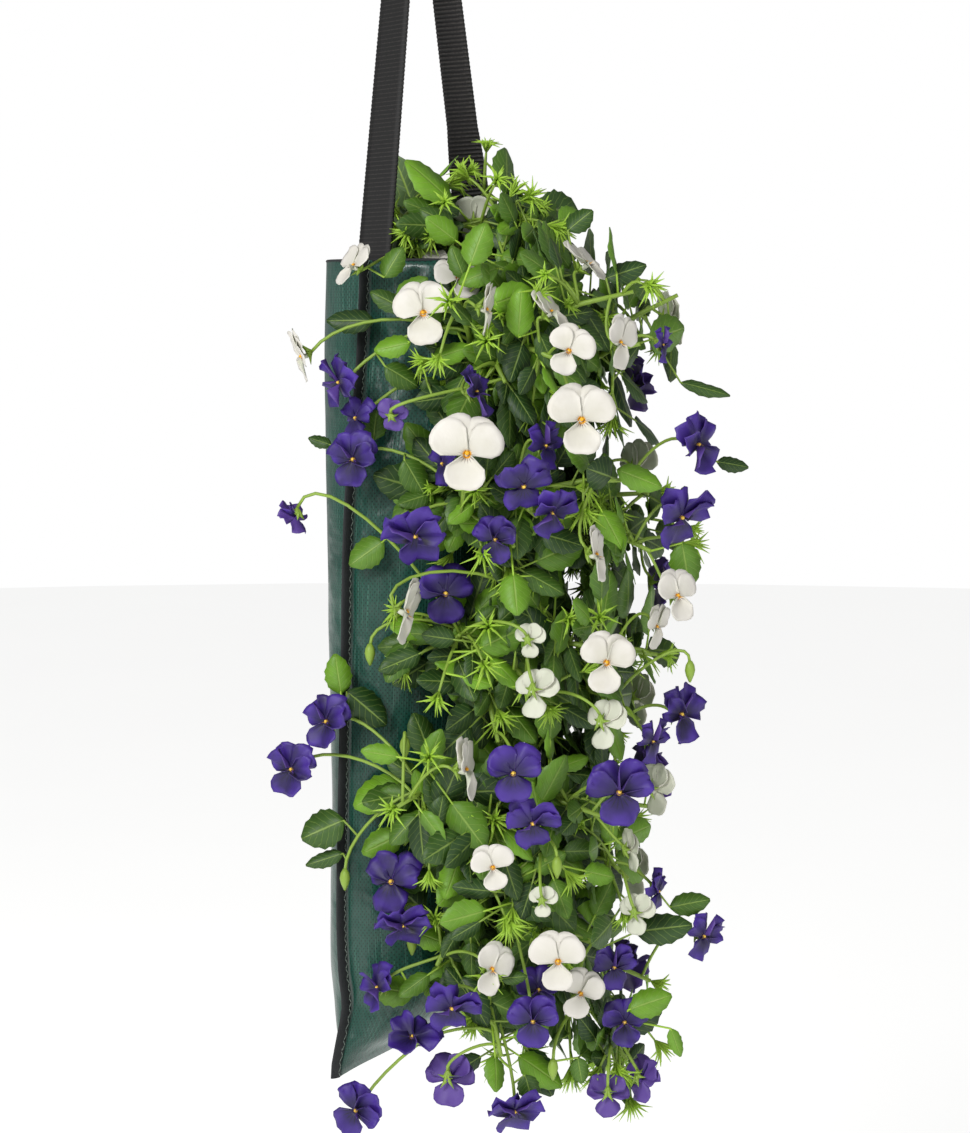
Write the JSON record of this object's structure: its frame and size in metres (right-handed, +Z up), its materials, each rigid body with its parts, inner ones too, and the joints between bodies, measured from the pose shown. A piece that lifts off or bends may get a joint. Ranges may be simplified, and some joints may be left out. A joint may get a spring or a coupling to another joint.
{
  "type": "hanging horned violet",
  "caption": "Tall hanging cloth grow bag on a webbing loop, its front planted from rim to foot with white and violet horned violets in full bloom.",
  "frame": {"origin": "middle of the flat seat under the top of the strap, where it bears on its hook", "axes": "+Z up, -Y out of the bag's planted front, +X to the right as seen from that front"},
  "size_m": [0.2518, 0.2381, 0.7502],
  "materials": {
    "cloth": "woven coated cloth, satin",
    "binding_tape": "woven tape with pale zig-zag stitching",
    "webbing": "finely ribbed webbing",
    "soil": "moist crumbly growing medium",
    "foliage": "soft leaf, slightly glossy above",
    "petals_white": "velvety petal",
    "petals_violet": "velvety petal"
  },
  "bodies": {
    "root": {"front_panel": "cloth", "back_panel": "cloth", "seam_binding_left": "binding_tape", "seam_binding_right": "binding_tape", "strap_loop": "webbing", "soil_fill": "soil", "plant_01": "foliage", "plant_02": "foliage", "plant_03": "foliage", "plant_04": "foliage", "plant_05": "foliage", "plant_06": "foliage", "plant_07": "foliage", "plant_08": "foliage", "plant_09": "foliage", "plant_10": "foliage", "plant_11": "foliage", "plant_12": "foliage", "white_bloom_01": "petals_white", "white_bloom_02": "petals_white", "white_bloom_03": "petals_white", "white_bloom_04": "petals_white", "white_bloom_05": "petals_white", "white_bloom_06": "petals_white", "white_bloom_07": "petals_white", "white_bloom_08": "petals_white", "white_bloom_09": "petals_white", "white_bloom_10": "petals_white", "white_bloom_11": "petals_white", "white_bloom_12": "petals_white", "white_bloom_13": "petals_white", "white_bloom_14": "petals_white", "white_bloom_15": "petals_white", "white_bloom_16": "petals_white", "white_bloom_17": "petals_white", "white_bloom_18": "petals_white", "violet_bloom_01": "petals_violet", "violet_bloom_02": "petals_violet", "violet_bloom_03": "petals_violet", "violet_bloom_04": "petals_violet", "violet_bloom_05": "petals_violet", "violet_bloom_06": "petals_violet", "violet_bloom_07": "petals_violet", "violet_bloom_08": "petals_violet", "violet_bloom_09": "petals_violet", "violet_bloom_10": "petals_violet", "violet_bloom_11": "petals_violet", "violet_bloom_12": "petals_violet", "violet_bloom_13": "petals_violet", "violet_bloom_14": "petals_violet", "violet_bloom_15": "petals_violet", "violet_bloom_16": "petals_violet", "violet_bloom_17": "petals_violet", "violet_bloom_18": "petals_violet", "violet_bloom_19": "petals_violet", "violet_bloom_20": "petals_violet", "violet_bloom_21": "petals_violet", "violet_bloom_22": "petals_violet", "violet_bloom_23": "petals_violet", "violet_bloom_24": "petals_violet"}
  },
  "joints": []
}
